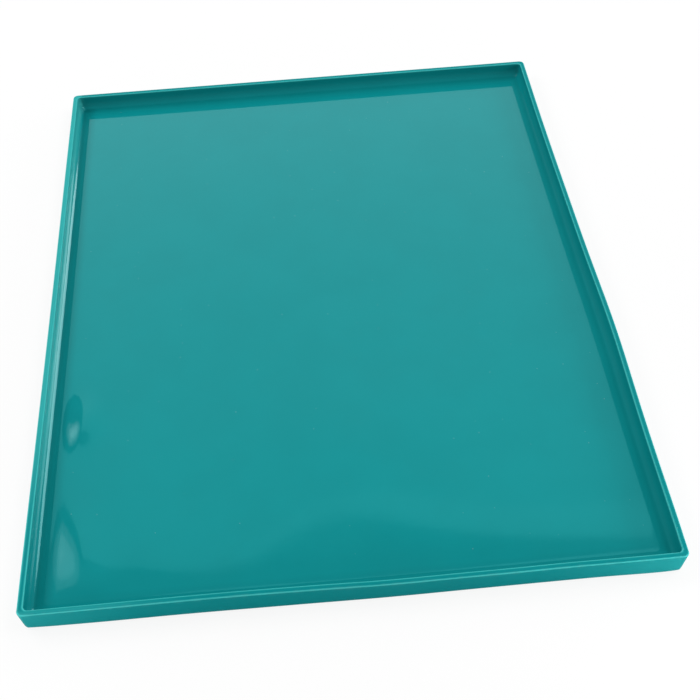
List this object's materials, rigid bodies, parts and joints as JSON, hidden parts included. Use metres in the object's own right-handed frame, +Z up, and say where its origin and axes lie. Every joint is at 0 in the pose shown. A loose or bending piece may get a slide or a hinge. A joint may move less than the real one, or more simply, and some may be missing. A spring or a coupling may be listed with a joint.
{
  "type": "silicone baking sheet",
  "caption": "Shallow rectangular silicone baking sheet with a low straight rim, on which a thin sponge is baked, turned out and rolled.",
  "frame": {"origin": "centre of the underside", "axes": "+Z up out of the tray, +Y along the sheet's length, +X across it"},
  "size_m": [0.27, 0.35, 0.01],
  "materials": {
    "silicone": "gloss"
  },
  "bodies": {
    "root": {"baking_sheet": "silicone"}
  },
  "joints": []
}
